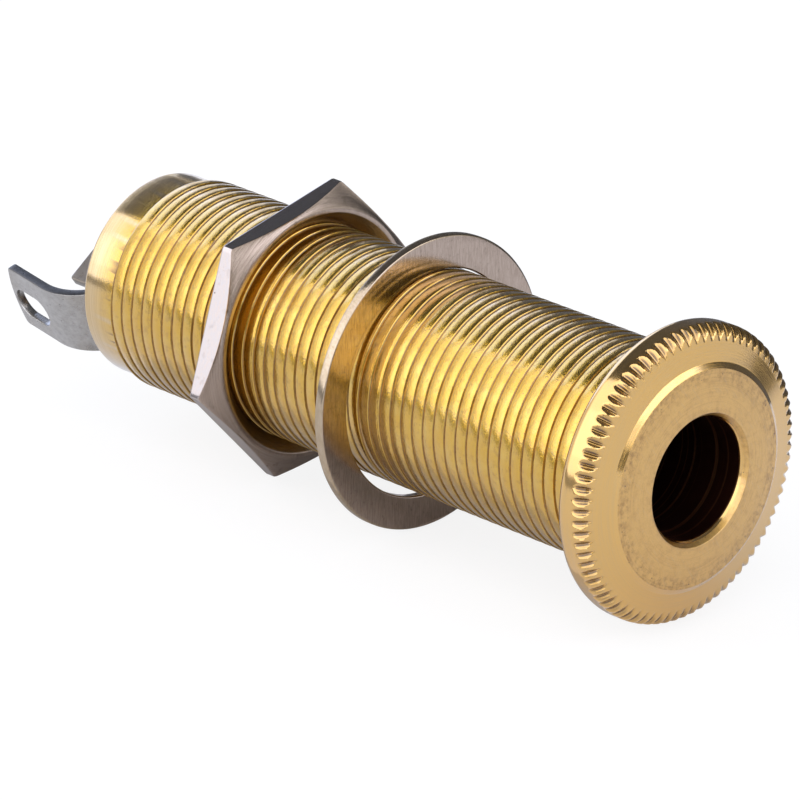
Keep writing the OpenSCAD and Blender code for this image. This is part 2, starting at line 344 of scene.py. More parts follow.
def nickelNut(angle):
    nickel = Finish("brushedNickelNut", nickelTone["constants"])
    c, s = math.cos(math.radians(angle)), math.sin(math.radians(angle))
    along, across = nickel.y * c + nickel.z * s, nickel.z * c - nickel.y * s
    brush = nickel.cloud(1.0, 5.0, 0.7, nickel.spot(nickel.x * 7.0, along * 0.9, across * 17))
    rings = nickel.turned(3.0, 26.0)
    flat, slope = nickel.mark("flat"), nickel.mark("slope")
    lines = nickel.flow.add("ShaderNodeMix", {"data_type": "FLOAT"},
                            {0: (slope * 0.8).clamp(), 2: brush, 3: rings})
    tone = lines.ramp(0.32, 0.68).tint(nickelTone["dull"], nickelTone["bright"])
    tone = flat.tint(tone, (0.5 * brush.ramp(0.30, 0.70)).tint(nickelTone["flat"], nickelTone["bright"]))
    dull = nickel.cloud(1.6, 5.0, 0.6).ramp(0.55, 0.74) * (0.45 - 0.25 * flat)
    tone = dull.tint(tone, nickelTone["dark"])
    tone = (slope * 0.3).tint(tone, nickelTone["dark"])
    tone = nickel.specks(2.2, 0.13, 0.2).tint(tone, nickelTone["speck"])
    nickel.plug(Base_Color=tone, Roughness=0.17 + 0.14 * lines - flat * (0.10 + 0.08 * lines))
    nickel.bump(lines * (1 - 0.9 * flat), 0.011)
    return nickel


def nickelWasher():
    nickel = Finish("satinNickelWasher", nickelTone["constants"])
    grain = nickel.cloud(1.0, 4.0, 0.7, nickel.spot(nickel.x * 4.0, nickel.y * 11.0, nickel.z * 1.3))
    spots = nickel.cloud(4.0, 5.0, 0.65)
    edge = nickel.mark("edge")
    tone = grain.ramp(0.3, 0.7).tint(nickelTone["dull"], nickelTone["bright"])
    tone = (spots.ramp(0.56, 0.72) * 0.4).tint(tone, nickelTone["dark"])
    tone = (edge * (0.25 + 0.35 * spots)).clamp().tint(tone, nickelTone["brass"])
    nickel.plug(Base_Color=tone, Roughness=0.08 + 0.07 * grain + 0.06 * spots)
    nickel.bump(grain * 0.6 + spots * 0.5, 0.005)
    return nickel


tinTone = {
    "bright": rgb(0.440, 0.425, 0.400), "dull": rgb(0.335, 0.320, 0.298), "dark": rgb(0.110, 0.105, 0.100),
    "warm": rgb(0.300, 0.265, 0.215), "cut": rgb(0.045, 0.043, 0.042), "tipDarkTone": rgb(0.110, 0.082, 0.052),
}


def tinnedBrass():
    tin = Finish("tinnedBrass", {"Metallic": 1.0})
    mottle = tin.cloud(2.4, 6.0, 0.7)
    cast = tin.cloud(0.45, 3.0, 0.5)
    rolled = tin.cloud(1.0, 4.0, 0.65, tin.spot(tin.x * 1.2, tin.y * 10, tin.z * 10))
    tone = (0.7 * mottle + 0.3 * rolled).ramp(0.36, 0.64).tint(tinTone["dull"], tinTone["bright"])
    tone = (cast.ramp(0.45, 0.70) * 0.35).tint(tone, tinTone["warm"])
    tone = (tin.specks(2.6, 0.15, 0.34) * 0.75).tint(tone, tinTone["dark"])
    # the sheet's outline edge is painted near black: painted shade and dark reflection along the edge
    tone = (tin.mark("cut") * (0.55 + 0.45 * mottle)).clamp().tint(tone, tinTone["cut"])
    # the tip terminal is given a darker, browner tone all over
    tone = (tin.mark("tipDarkTone") * (0.6 + 0.4 * cast)).clamp().tint(tone, tinTone["tipDarkTone"])
    tin.plug(Base_Color=tone, Roughness=0.22 + 0.14 * mottle)
    tin.bump(0.7 * mottle + 0.3 * rolled + 0.4 * tin.cloud(12.0, 2.0), 0.009)
    return tin


def springMetal():
    leaf = Finish("springBronze", {"Metallic": 1.0})
    rolled = leaf.cloud(1.0, 4.0, 0.65, leaf.spot(leaf.x * 0.7, leaf.y * 14, leaf.z * 14))
    tone = rolled.ramp(0.3, 0.7).tint(rgb(0.50, 0.44, 0.36), rgb(0.66, 0.60, 0.52))
    leaf.plug(Base_Color=tone, Roughness=(0.18 + 0.15 * rolled))
    leaf.bump(rolled, 0.004)
    return leaf


def rivetBrass():
    brass = Finish("rivetBrass", {"Metallic": 1.0})
    dents = brass.cloud(3.0, 4.0, 0.6)
    tone = dents.ramp(0.35, 0.7).tint(rgb(0.55, 0.35, 0.12), rgb(0.33, 0.19, 0.06))
    brass.plug(Base_Color=tone, Roughness=(0.22 + 0.2 * dents))
    brass.bump(dents, 0.02)
    return brass


def phenolicDisc():
    board = Finish("laminatedPhenolic", {"Specular IOR Level": 0.45})
    sheets = board.cloud(1.0, 2.0, 0.5, board.spot(board.x * 9, board.y * 0.4, board.z * 0.4))
    weave = board.cloud(6.0, 3.0, 0.6)
    mixed = (0.6 * sheets + 0.4 * weave).ramp(0.35, 0.65)
    tone = mixed.tint(rgb(0.115, 0.045, 0.018), rgb(0.235, 0.105, 0.040))
    board.plug(Base_Color=tone, Roughness=(0.45 + 0.2 * weave))
    board.bump(0.6 * sheets + 0.5 * weave, 0.02)
    return board


def linerTube():
    tube = Finish("fibreLiner", {"Specular IOR Level": 0.3})
    fibre = tube.cloud(1.0, 4.0, 0.65, tube.spot(tube.x * 1.2, tube.y * 7, tube.z * 7))
    tone = fibre.ramp(0.3, 0.7).tint(rgb(0.012, 0.010, 0.009), rgb(0.035, 0.029, 0.024))
    tube.plug(Base_Color=tone, Roughness=(0.6 + 0.25 * fibre))
    tube.bump(fibre, 0.02)
    return tube


# Barrel: a right-hand thread as one helix. Each turn is rounded to the rear, with a rolled lip at its front
barrelSize = {
    "length": 38.1, "threadEnd": -35.7, "majorR": 5.92, "pitch": 0.794, "phase": 0.27, "around": 136,
    "burr": 0.012, "burrSize": 0.45, "burrShare": 0.3, "uneven": 0.002, "unevenSize": 0.7, "runOut": 1.2,
    "tuck": 0.02,
    "shoulderR": 5.655, "shoulderEndR": 5.672, "rimR": 5.325, "edge": 0.28, "taper": 0.9,
    "boreR": 3.3, "mouthR": 3.6, "bevel": 0.36, "sleeveEnd": -12.0, "chamberR": 4.9,
}
# one turn from groove to groove: place along the axis, depth under the crest, and share of groove
turnProfile = [
    (-0.397, 0.080, 1.0), (-0.377, 0.070, 0.7), (-0.360, 0.064, 0.3), (-0.300, 0.053, 0.0),
    (-0.220, 0.039, 0.0), (-0.140, 0.026, 0.0), (-0.060, 0.0155, 0.0), (0.020, 0.008, 0.0),
    (0.100, 0.003, 0.0), (0.180, 0.000, 0.0), (0.240, 0.000, 0.0), (0.268, 0.006, 0.3),
    (0.298, 0.000, 0.0), (0.344, 0.006, 0.1), (0.366, 0.040, 0.85)]


def makeThread(finish):
    b = barrelSize
    steps, drop, share = (np.array(column) for column in zip(*turnProfile))
    turns = np.arange(-2, int(-b["threadEnd"] / b["pitch"]) + 3)
    steps = (turns[:, None] * b["pitch"] + steps[None, :]).reshape(-1)[:, None]
    drop, share = np.tile(drop, len(turns))[:, None], np.tile(share, len(turns))[:, None]
    angle = np.linspace(0, turn, b["around"] + 1)[None, :]
    x = b["threadEnd"] + b["phase"] + steps + angle / turn * b["pitch"]
    # burrs: the lips and the groove's edges wander a little along the helix
    burr = b["burr"] * wander(x, 5 * np.cos(angle), 5 * np.sin(angle), b["burrSize"])
    burr = burr * (b["burrShare"] + (1 - b["burrShare"]) * (drop > 0.002))
    x = np.clip(x + burr, b["threadEnd"], b["tuck"])
    uneven = wander(x, 6 * np.cos(angle), 6 * np.sin(angle), b["unevenSize"], 7.3)
    reach = b["majorR"] - drop + b["uneven"] * uneven
    reach = np.minimum(reach, b["shoulderR"] + (x - b["threadEnd"]) * b["runOut"])
    reach = np.minimum(reach, b["majorR"])
    thread = np.stack([x, reach * np.cos(angle), reach * np.sin(angle)], -1)
    rearX = -b["length"]
    end = rounded([
        (rearX, b["chamberR"]), (rearX, b["rimR"]), (rearX + b["edge"], b["shoulderEndR"]),
        (rearX + b["taper"], b["shoulderEndR"]), (b["threadEnd"], b["shoulderR"])],
        [0, 0.06, 0.2, 0.8, 0], 6)
    rear = lathe(end, b["around"])
    return makePiece("barrelThread", [(thread, False, False, {"groove": share, "bare": 0.0}),
                                      (rear, False, True, {"groove": 0.0, "bare": 1.0})],
                     finish, "shell", ["barrel"], 40)


# Flange: rounded rim with a knurl, a flat ring, a sloped step and a face that rises to the mouth
flangeSize = {
    "rimR": 8.018, "seatFrom": 5.6, "seatBand": 0.6, "faceH": 2.38, "faceTop": 2.58, "faceR": 5.87,
    "stepW": 0.30, "stepH": 0.20, "stepFoot": 0.02, "ringRise": 0.04, "ringIn": 0.16, "rimH": 1.88,
    "frontRound": 0.68, "backRound": 0.6, "roundStop": 0.12, "teeth": 80, "perTooth": 10,
    "notchDeep": 0.18, "notchSlope": 0.62, "notchFrom": 0.02, "notchTo": 1.52, "notchBlunt": 0.4,
    "notchShadeDepth": 0.13, "uneven": 0.05,
}


def makeHead(finish):
    f, b = flangeSize, barrelSize
    count = f["teeth"] * f["perTooth"]
    back, front = f["backRound"], f["frontRound"]
    rim = [(0.0, f["seatFrom"]), (0.0, f["rimR"] - back - f["seatBand"]), (0.0, f["rimR"] - back)]
    rim += [(back - back * math.cos(t), f["rimR"] - back + back * math.sin(t))
            for t in np.linspace(0, math.pi / 2, 9)[1:]]
    rim += [(x, f["rimR"]) for x in np.linspace(back, f["rimH"] - front, 6)[1:]]
    rounding = np.linspace(0, math.pi / 2 - f["roundStop"], 24)[1:]
    rim += [(f["rimH"] - front + front * math.sin(t), f["rimR"] - front + front * math.cos(t))
            for t in rounding]
    face = rounded([
        (rim[-1][0], rim[-1][1]), (f["rimH"] + f["ringRise"], f["rimR"] - front - f["ringIn"]),
        (f["faceH"] - f["stepH"] - f["stepFoot"], f["faceR"] + f["stepW"]), (f["faceH"], f["faceR"]),
        (f["faceTop"], b["mouthR"]), (f["faceTop"] - b["bevel"], b["boreR"]), (b["sleeveEnd"], b["boreR"]),
        (b["sleeveEnd"], b["chamberR"]), (-b["length"], b["chamberR"])],
        [0, 0.25, 0.16, 0.14, 0.07, 0.10, 0.08, 0.05, 0], 5)
    line = np.concatenate([np.array(rim), face[1:]])
    # knurl: vee notches cut over the rounded front of the rim, deepest in their middles
    lean = np.zeros(len(line))
    lean[len(rim) - len(rounding):len(rim)] = rounding
    lens = np.clip((lean - f["notchFrom"]) / (f["notchTo"] - f["notchFrom"]), 0, 1)
    lens = np.sin(math.pi * lens) ** f["notchBlunt"]
    angle = ring(count)
    tooth = np.abs((angle / turn * f["teeth"]) % 1 - 0.5)
    off = tooth * turn * f["rimR"] / f["teeth"]
    uneven = f["uneven"] * (np.sin(angle * 7) + np.sin(angle * 23 + 1.3))
    cut = np.maximum(f["notchDeep"] * lens[:, None] * (1 + uneven) - f["notchSlope"] * off[None, :], 0)
    cut = cut * (lens[:, None] > 0.02)
    head = lathe(line, count, line[:, 1][:, None] - cut * np.cos(lean)[:, None])
    head[..., 0] -= cut * np.sin(lean)[:, None]
    # the notch mark is full where the cut reaches notchShadeDepth; it also carries the knurl's painted shade
    return makePiece("barrelHead", [(head, False, True, {"notch": np.clip(cut / f["notchShadeDepth"], 0, 1)})],
                     finish, "shell", ["barrel"], 30)


# Nut: hexagon cut by a cone on its front, wide countersink
nutSize = {
    "acrossFlats": 14.29, "thick": 1.4, "rear": -26.93, "angle": -17.7, "faceD": 13.9, "chamfer": 30.0,
    "sinkD": 13.3, "boreR": 5.928, "around": 360, "edge": 0.05, "corner": 170, "brushAngle": 62,
}


def makeNut(finish):
    n = nutSize
    angle = ring(n["around"])
    local = angle - math.radians(n["angle"])
    flats = [math.radians(60 * k) for k in range(6)]   # directions of the flats in the nut's own frame
    spread = sum(np.maximum(np.cos(local - f), 0) ** n["corner"] for f in flats)
    hexR = n["acrossFlats"] / 2 * spread ** (-1 / n["corner"])
    faceR = np.minimum(n["faceD"] / 2, hexR)
    rear, e = n["rear"], n["edge"]
    front = rear + n["thick"]
    lip = np.maximum(hexR - n["faceD"] / 2, 0) * math.tan(math.radians(n["chamfer"]))
    sinkR, boreR = n["sinkD"] / 2, n["boreR"]
    sinkDeep = sinkR - boreR
    # from the bore over the rear, the flats, the chamfer and the face into the countersink
    rows = [
        (rear, boreR, ""), (rear, (boreR + hexR) / 2, ""), (rear, hexR - 3 * e, ""), (rear, hexR - e, ""),
        (rear + 0.3 * e, hexR - 0.3 * e, "flat"), (rear + e, hexR, "flat"), (rear + 1.6 * e, hexR, "flat"),
        (rear + n["thick"] / 3, hexR, "flat"), (front - lip - 2 * e, hexR, "flat"),
        (front - lip - 0.8 * e, hexR - 0.02 * e, "flat"), (front - lip + 0.1 * e, hexR - 0.5 * e, ""),
        (front - 0.85 * lip - 0.2 * e, hexR - 0.15 * (hexR - faceR) - 0.9 * e, "slope"),
        (front - 0.5 * lip, 0.5 * (hexR + faceR) - 0.9 * e, "slope"),
        (front - 0.12 * lip, faceR + 0.12 * (hexR - faceR) - 0.9 * e, "slope"),
        (front, faceR - 1.6 * e, ""), (front, 0.5 * (faceR + sinkR), ""), (front, sinkR + e, ""),
        (front - 0.3 * e, sinkR + 0.1 * e, "slope"), (front - e, sinkR - 0.8 * e, "slope"),
        (front - 0.5 * sinkDeep, sinkR - 0.5 * sinkDeep, "slope"), (front - sinkDeep, boreR, "slope"),
        (rear, boreR, "")]
    grid = np.stack([np.stack([x + 0 * angle, r * np.cos(angle), r * np.sin(angle)], -1) for x, r, _ in rows])
    flat, slope = (np.array([[mark == name] for _, _, mark in rows], float) for name in ("flat", "slope"))
    return makePiece("hexNut", [(grid, False, True, {"flat": flat, "slope": slope})],
                     finish, "nut", ["hex_nut"], 28)


# Washer: punched, with one rolled edge and one crisp edge
washerSize = {
    "outerR": 8.094, "holeR": 6.25, "thick": 0.5, "middle": -17.05, "hang": 0.30, "roll": 0.14, "crisp": 0.04,
    "around": 288,
}


def makeWasher(finish):
    w = washerSize
    low, high = w["middle"] - w["thick"] / 2, w["middle"] + w["thick"] / 2
    middle = (w["outerR"] + w["holeR"]) / 2
    corners = [(low, middle), (low, w["outerR"]), (high, w["outerR"]),
               (high, w["holeR"]), (low, w["holeR"]), (low, middle)]
    line = rounded(corners, [0, w["crisp"], w["roll"], w["roll"] * 0.7, w["crisp"], 0], 5)
    grid = lathe(line, w["around"])
    grid[..., 2] -= w["hang"]
    edge = smooth(w["outerR"] - w["roll"], w["outerR"] - 0.3 * w["roll"], line[:, 1])[:, None]
    return makePiece("flatWasher", [(grid, False, True, {"edge": edge})],
                     finish, "washer", ["flat_washer"], 40)


# Sheet metal: a plate with a long eye is a grid of rings from the eye to the outline, with rolled edges
def plateWithEye(outline, eyeAt, eyeLen, eyeWide, thick, edge, rings=18):
    eyeAt = np.asarray(eyeAt, float)
    away = outline - eyeAt
    unit = away / np.linalg.norm(away, axis=1, keepdims=True)
    c, s = np.abs(unit[:, 0]), np.maximum(np.abs(unit[:, 1]), 1e-6)
    half, r = (eyeLen - eyeWide) / 2, eyeWide / 2
    side = c * r / s <= half
    far = np.where(side, r / s, half * c + np.sqrt(np.maximum(r * r - (half * s) ** 2, 0)))
    hole = eyeAt + unit * far[:, None]
    inner, outer = hole + unit * edge, outline - unit * edge
    h = thick / 2
    face = [inner * (1 - t) + outer * t for t in np.linspace(0, 1, rings) ** 1.2]
    rows = [(p, h) for p in face]
    rows += [(outline - unit * 0.3 * edge, h - 0.3 * edge), (outline, h - edge)]
    rows += [(outline, edge - h), (outline - unit * 0.3 * edge, 0.3 * edge - h)]
    rows += [(p, -h) for p in face[::-1]]
    rows += [(hole + unit * 0.3 * edge, 0.3 * edge - h), (hole, edge - h)]
    rows += [(hole, h - edge), (hole + unit * 0.3 * edge, h - 0.3 * edge)]
    flat = np.stack([p for p, _ in rows])
    height = np.stack([np.full(len(outline), level) for _, level in rows])
    # rows around the outline's edge, which the tin finish paints near black as painted shade
    cut = np.zeros((len(rows), 1))
    cut[rings:rings + 4] = 1
    return flat, height, cut


def resample(points, step):
    points = np.concatenate([points, points[:1]])
    out = []
    for a, b in zip(points[:-1], points[1:]):
        count = max(1, int(np.ceil(np.linalg.norm(b - a) / step)))
        out += [a + (b - a) * k / count for k in range(count)]
    return np.array(out)


# outline of a strip from its root to an end that is straight (bulge 0) or bowed
def stripOutline(length, width, corner, bulge, step=0.22):
    half = width / 2
    bow = [(length - bulge * t * t, half * t) for t in np.linspace(-1, 1, 11)]
    points = [(0.0, half), (0.0, -half)] + bow
    radii = [0.0] * 2 + [corner] + [0.0] * 9 + [corner]
    points.append((0.0, half))
    radii.append(0.0)
    return resample(rounded(points, radii, 6)[:-1], step)


lugSize = {
    "thick": 0.5, "width": 3.92, "eyeLen": 3.0, "eyeWide": 1.8, "eyeEdge": 1.75, "eyeOff": -0.3,
    "corner": 0.4, "bulge": 0.37, "edge": 0.07, "angle": 111.0, "lean": 35.7, "bendR": 3.9, "sweep": 44.1,
    "flat": 3.6, "collarR": 4.87, "collarFront": -36.25, "collarRear": -38.35, "reliefW": 0.5,
    "reliefLen": 0.65, "rootGap": 0.196, "around": 480,
}


def aroundAxis(points, degrees):
    t = math.radians(degrees)
    y, z = points[..., 1].copy(), points[..., 2].copy()
    out = points.copy()
    out[..., 1] = y * math.cos(t) - z * math.sin(t)
    out[..., 2] = y * math.sin(t) + z * math.cos(t)
    return out


def makeSleeveLug(finish):
    s = lugSize
    sweep, lean = math.radians(s["sweep"]), math.radians(s["lean"])
    length = s["bendR"] * sweep + s["flat"]
    outline = stripOutline(length, s["width"], s["corner"], s["bulge"])
    eyeAt = (length - s["eyeEdge"], s["eyeOff"])
    flat, height, cut = plateWithEye(outline, eyeAt, s["eyeLen"], s["eyeWide"], s["thick"], s["edge"])
    # the strip leans out from the collar, rolls inwards over its bend and ends flat
    bent = np.minimum(flat[..., 0] / s["bendR"], sweep)
    straight = flat[..., 0] - bent * s["bendR"]
    heading = lean - bent
    c, h = np.cos(heading), np.sin(heading)
    rear = s["bendR"] * (math.sin(lean) - h) + straight * c - height * h
    up = s["bendR"] * (c - math.cos(lean)) + straight * h + height * c
    rootX, rootR = -barrelSize["length"] - s["rootGap"], s["collarR"] - s["thick"] / 2
    grid = aroundAxis(np.stack([rootX - rear, flat[..., 1], rootR + up], -1), s["angle"])
    # collar with a relief notch on each side of the lug
    angle = ring(s["around"])
    inner, outer = s["collarR"] - s["thick"], s["collarR"]
    offset = np.abs((angle - math.pi / 2 - math.radians(s["angle"]) + math.pi) % turn - math.pi) * outer
    notched = (offset > s["width"] / 2) & (offset < s["width"] / 2 + s["reliefW"])
    rearX = np.where(notched, s["collarRear"] + s["reliefLen"], s["collarRear"])
    e = s["edge"]
    rows = [(s["collarFront"] + 0 * angle, inner), (s["collarFront"] + 0 * angle, outer),
            (rearX + e, outer), (rearX + 0.3 * e, outer - 0.3 * e), (rearX, outer - e),
            (rearX, inner + e), (rearX + 0.3 * e, inner + 0.3 * e), (rearX + e, inner)]
    collar = np.stack([np.stack([x, r * np.cos(angle), r * np.sin(angle)], -1) for x, r in rows])
    return makePiece("sleeveTerminal", [(grid, True, True, {"cut": cut, "tipDarkTone": 0.0}),
                                        (collar, True, True, {"cut": 0.0, "tipDarkTone": 0.0})],
                     finish, "shell", ["sleeve_terminal"], 35)


# Tip contact: plate, rivet and spring share one frame, turned about the axis
tipSize = {
    "angle": 35.5, "discFront": -33.25, "discBack": -36.25, "rivetOff": 1.5, "rivetR": 0.8, "headR": 1.6,
    "headH": 0.45, "rivetAround": 64, "footEnd": 3.4, "plateFace": -0.65, "thick": 0.5, "width": 3.92,
    "eyeLen": 3.0, "eyeWide": 1.8, "eyeEdge": 1.75, "corner": 0.4, "reach": 5.9, "bendGap": 0.3, "lap": 0.2,
    "springThick": 0.3, "springWide": 2.4, "springGap": 2.3, "slope": 7.0, "bumpAt": -24.2, "springBend": 0.5,
    "bumpBend": 0.9, "bumpAngle": 35.0, "tail": 0.6, "blendLen": 2.2, "edge": 0.05,
}


# a strip's middle line in the tip frame: u across the disc (away from the rivet's side), x along the axis
def bendPath(start, heading, runs):
    points, tangents = [np.array(start, float)], []
    angle = math.radians(heading)
    tangents.append(angle)
    for length, radius, degrees in runs:
        here = points[-1]
        if degrees == 0:
            for t in np.linspace(0, 1, max(2, int(length / 0.6) + 2))[1:]:
                points.append(here + length * t * np.array([math.cos(angle), math.sin(angle)]))
                tangents.append(angle)
        else:
            side = 1 if degrees > 0 else -1
            middle = here + side * radius * np.array([-math.sin(angle), math.cos(angle)])
            for t in np.linspace(0, 1, 13)[1:]:
                now = angle + math.radians(degrees) * t
                points.append(middle - side * radius * np.array([-math.sin(now), math.cos(now)]))
                tangents.append(now)
            angle += math.radians(degrees)
    return np.array(points), np.array(tangents)


# (u, x) of the tip frame plus width w to the part's own frame
def fromTip(u, x, w):
    grid = np.stack([x + 0 * u, w + 0 * u, tipSize["footEnd"] - u], -1)
    return aroundAxis(grid, tipSize["angle"])


def stripGrid(path, tangents, thick, wide, edge):
    h, w, e = thick / 2, wide / 2, edge
    section = [(h, -w + e), (h, 0), (h, w - e), (h - 0.3 * e, w - 0.3 * e), (h - e, w), (-h + e, w),
               (-h + 0.3 * e, w - 0.3 * e), (-h, w - e), (-h, 0), (-h, -w + e), (-h + 0.3 * e, -w + 0.3 * e),
               (-h + e, -w), (h - e, -w), (h - 0.3 * e, -w + 0.3 * e)]
    normal = np.stack([-np.sin(tangents), np.cos(tangents)], -1)
    rows = []
    for p, n in zip(path, normal):
        rows.append([(p[0] + n[0] * a, p[1] + n[1] * a, b) for a, b in section])
    rows = np.array(rows)
    # each end is closed on its own middle
    first, last = (end.mean(1, keepdims=True) + 0 * end for end in (rows[:1], rows[-1:]))
    rows = np.concatenate([first, rows, last])
    return fromTip(rows[..., 0], rows[..., 1], rows[..., 2])


def makeTipSpring(finish):
    t = tipSize
    slope = math.radians(t["slope"])
    footX = t["discFront"] + t["springThick"] / 2
    startX = footX + t["springBend"] * (1 + math.sin(slope))
    endX = t["bumpAt"] - t["bumpBend"] * math.sin(slope)
    arm = (endX - startX) / math.cos(slope)
    endU = -t["springGap"] - t["springThick"] / 2 - t["bumpBend"] * (1 - math.cos(slope))
    bendU = endU - arm * math.sin(slope) + t["springBend"] * math.cos(slope)
    foot = t["footEnd"] - bendU
    path, tangents = bendPath((0.0, footX), 0, [
        (foot, 0, 0), (0, t["springBend"], 90 + t["slope"]), (arm, 0, 0),
        (0, t["bumpBend"], -t["slope"] - t["bumpAngle"]), (t["tail"], 0, 0)])
    grid = stripGrid(path, tangents, t["springThick"], t["springWide"], t["edge"])
    piece = makePiece("tipSpring", [(grid, False, True)], finish, None, ["tip_spring"], 35)
    root = fromTip(np.array([foot]), np.array([footX]), np.array([0.0]))[0] * mm
    arms = fromTip(np.array([foot]), np.array([startX + t["blendLen"]]), np.array([0.0]))[0] * mm
    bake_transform(piece)
    return piece


def makeTipLug(finish):
    t = tipSize
    bend = t["bendGap"] + t["thick"] / 2
    plateU = t["plateFace"] - t["thick"] / 2
    footX = t["discBack"] - t["thick"] / 2
    foot = t["footEnd"] - plateU - bend
    path, tangents = bendPath((0.0, footX), 0, [(foot, 0, 0), (0, bend, -90), (t["lap"], 0, 0)])
    strip = stripGrid(path, tangents, t["thick"], t["width"], t["edge"])
    plateStart = footX - bend
    length = plateStart + barrelSize["length"] + t["reach"]
    outline = stripOutline(length, t["width"], t["corner"], 0.0)
    eyeAt = (length - t["eyeEdge"], 0.0)
    flat, height, _ = plateWithEye(outline, eyeAt, t["eyeLen"], t["eyeWide"], t["thick"], t["edge"])
    u = t["footEnd"] - plateU + height
    plate = fromTip(u, plateStart - flat[..., 0], flat[..., 1])
    marks = {"cut": 0.0, "tipDarkTone": 1.0}
    return makePiece("tipTerminal", [(strip, False, True, marks), (plate, True, True, marks)],
                     finish, "shell", ["tip_terminal"], 35)


def makeRivet(finish):
    t = tipSize
    low, high = t["discBack"] - t["thick"], t["discFront"] + t["springThick"]
    dome = [(math.sin(a), math.cos(a)) for a in np.linspace(math.pi / 2, 0.0, 9)]
    line = [(low - t["headH"] * s, 0.001 + t["headR"] * 0.98 * c ** 0.7) for s, c in dome]
    line += [(low, t["rivetR"]), (high, t["rivetR"])]
    line += [(high + t["headH"] * s, 0.001 + t["headR"] * 0.98 * c ** 0.7) for s, c in dome[::-1]]
    grid = lathe(line, t["rivetAround"])
    grid[..., 2] += t["rivetOff"]
    grid = aroundAxis(grid, t["angle"])
    return makePiece("contactRivet", [(grid, False, True)],
                     finish, "shell", ["contact_rivet"], 40)


insulationSize = {"slipR": 4.87, "linerT": 0.35, "edge": 0.12, "around": 160}


def makeDisc(finish):
    t, i = tipSize, insulationSize
    back, front = t["discBack"], t["discFront"]
    line = rounded([(back, 0.001), (back, i["slipR"]), (front, i["slipR"]), (front, 0.001)],
                   [0, i["edge"], i["edge"], 0], 5)
    grid = lathe(line, i["around"])
    return makePiece("insulatingDisc", [(grid, False, True)],
                     finish, "shell", ["insulating_disc"], 40)


def makeLiner(finish):
    t, i = tipSize, insulationSize
    front, rear = barrelSize["sleeveEnd"], t["discFront"]
    inner, outer = i["slipR"] - i["linerT"], i["slipR"]
    middle = (inner + outer) / 2
    corners = [(rear, middle), (rear, outer), (front, outer), (front, inner), (rear, inner), (rear, middle)]
    line = rounded(corners, [0, 0.05, 0.05, 0.08, 0.08, 0], 3)
    grid = lathe(line, i["around"])
    return makePiece("insulatingLiner", [(grid, False, True)],
                     finish, "shell", ["insulating_liner"], 40)


makeThread(goldThread())
makeHead(goldHead())
makeNut(nickelNut(nutSize["brushAngle"]))
makeWasher(nickelWasher())
tin = tinnedBrass()
makeSleeveLug(tin)
makeTipLug(tin)
makeTipSpring(springMetal())
makeRivet(rivetBrass())
makeDisc(phenolicDisc())
makeLiner(linerTube())


# Stage: pale floor, soft boxes and dark cards, a white room
stageSize = {"floorHalf": 4.0, "floorTone": 0.8, "floorGlow": 0.80, "glowLevel": 1.05, "roomFill": 0.68}


def plainMaterial(name, tone):
    material = bpy.data.materials.new(name)
    material.use_nodes = True
    shader = material.node_tree.nodes["Principled BSDF"]
    shader.inputs["Base Color"].default_value = rgb(tone, tone, tone)
    shader.inputs["Roughness"].default_value = 0.9
    shader.inputs["Specular IOR Level"].default_value = 0.0
    return material


# which kind of ray meets a surface: 1 for the named kind
def rayKind(flow, name):
    return Flow(flow.tree, flow.add("ShaderNodeLightPath").socket.node.outputs[name])


def makeSheet(name, rows, material):
    grid = np.array(rows, float)
    mesh = bpy.data.meshes.new(name)
    mesh.from_pydata(grid.reshape(-1, 3).tolist(), [], gridFaces(*grid.shape[:2], False, False, 0).tolist())
    sheet = bpy.data.objects.new(name, mesh)
    bpy.context.scene.collection.objects.link(sheet)
    mesh.materials.append(material)
    return sheet


def makeFloor():
    half, z = stageSize["floorHalf"], cadLow.z
    material = plainMaterial("paleFloor", stageSize["floorTone"])
    flow = Flow(material.node_tree)
    shader = material.node_tree.nodes["Principled BSDF"]
    glow = flow.add("ShaderNodeEmission", inputs={"Color": rgb(1, 1, 1), "Strength": stageSize["glowLevel"]})
    share = rayKind(flow, "Is Camera Ray") * stageSize["floorGlow"]
    mix = flow.add("ShaderNodeMixShader", inputs={0: share, 1: Flow(flow.tree, shader.outputs[0]), 2: glow})
    material.node_tree.links.new(mix.socket, material.node_tree.nodes["Material Output"].inputs["Surface"])
    makeSheet("floor", [[(x, y, z) for x in (-half, half)] for y in (-half, half)], material)


def makeRoom():
    world = bpy.data.worlds.new("whiteRoom")
    bpy.context.scene.world = world
    world.use_nodes = True
    flow = Flow(world.node_tree)
    seen = sum(rayKind(flow, name) for name in ("Is Camera Ray", "Is Glossy Ray", "Is Transmission Ray"))
    fill = world.node_tree.nodes["Background"]
    fill.inputs["Color"].default_value = rgb(1, 1, 1)
    fill.inputs["Strength"].default_value = stageSize["roomFill"]
    white = flow.add("ShaderNodeBackground", inputs={"Color": rgb(1, 1, 1), "Strength": 1.0})
    mix = flow.add("ShaderNodeMixShader", inputs={
        0: seen.clamp(), 1: Flow(flow.tree, fill.outputs[0]), 2: white})
    world.node_tree.links.new(mix.socket, world.node_tree.nodes["World Output"].inputs["Surface"])


